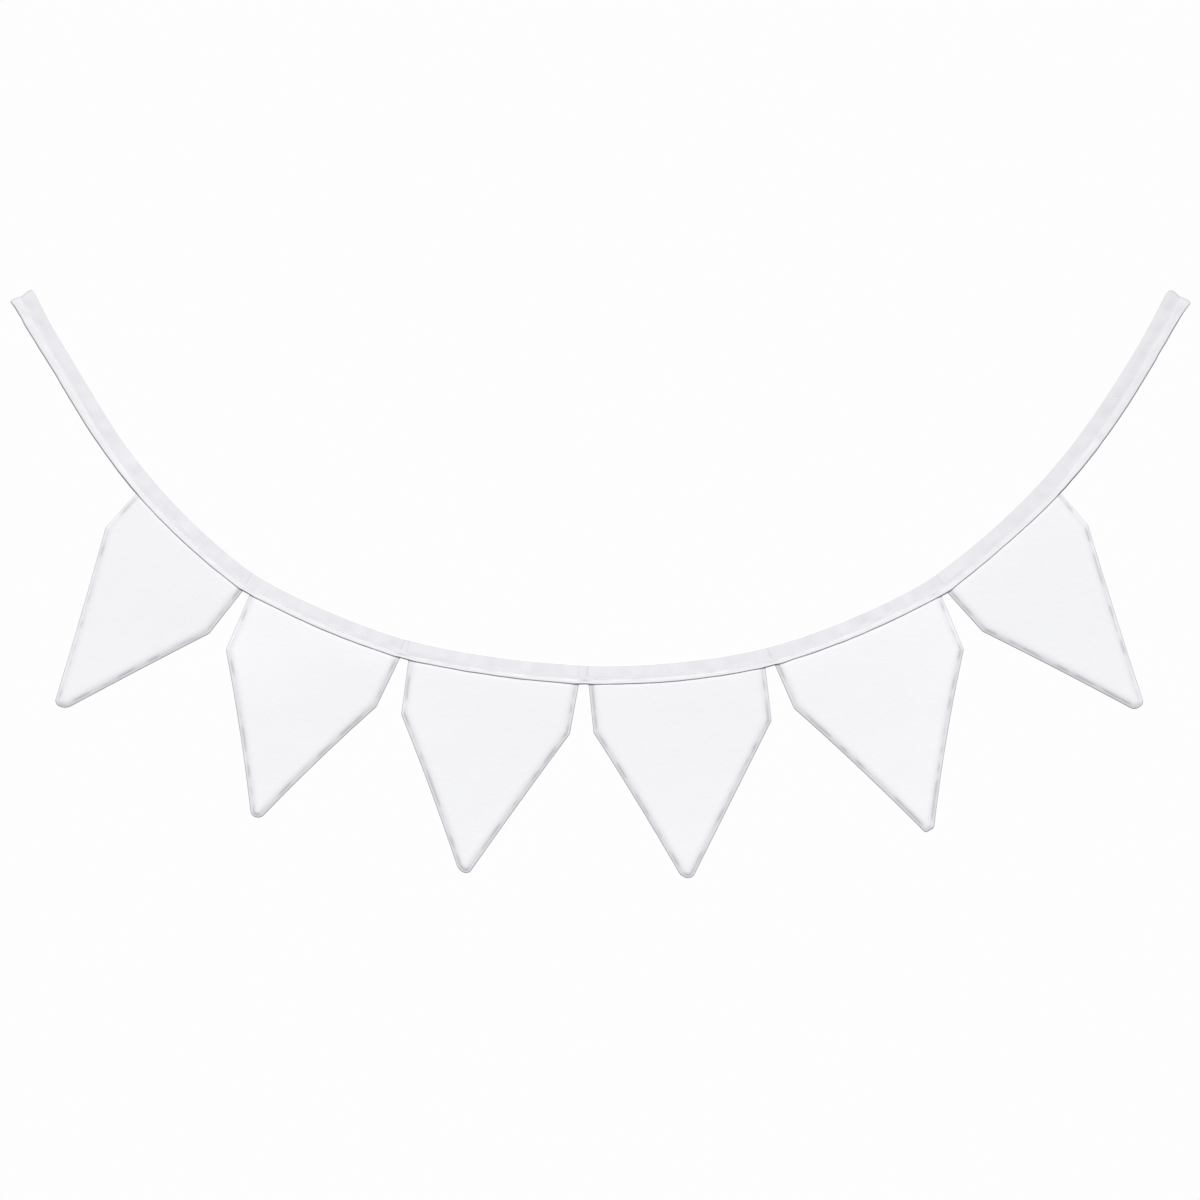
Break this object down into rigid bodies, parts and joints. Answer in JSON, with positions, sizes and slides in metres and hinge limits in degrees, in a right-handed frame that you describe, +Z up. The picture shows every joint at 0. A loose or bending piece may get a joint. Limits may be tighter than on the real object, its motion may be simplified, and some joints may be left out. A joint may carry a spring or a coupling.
{
  "type": "fabric bunting",
  "caption": "Swag of plain white cloth pennants held in a folded heading tape with free ends, hung up by both ends as a decoration.",
  "frame": {"origin": "the held point near the left end of the heading tape, on the middle of its width and thickness", "axes": "+X runs level to the right towards the other held end, as seen from the front; -Y points at the viewer; +Z is up"},
  "size_m": [0.8021, 0.0048, 0.3995],
  "materials": {
    "tape_cotton": "matt woven cotton tape, off-white",
    "pennant_cotton": "matt plain-weave cotton, white"
  },
  "bodies": {
    "root": {"heading_tape": "tape_cotton", "pennant_1": "pennant_cotton", "pennant_2": "pennant_cotton", "pennant_3": "pennant_cotton", "pennant_4": "pennant_cotton", "pennant_5": "pennant_cotton", "pennant_6": "pennant_cotton"}
  },
  "joints": []
}
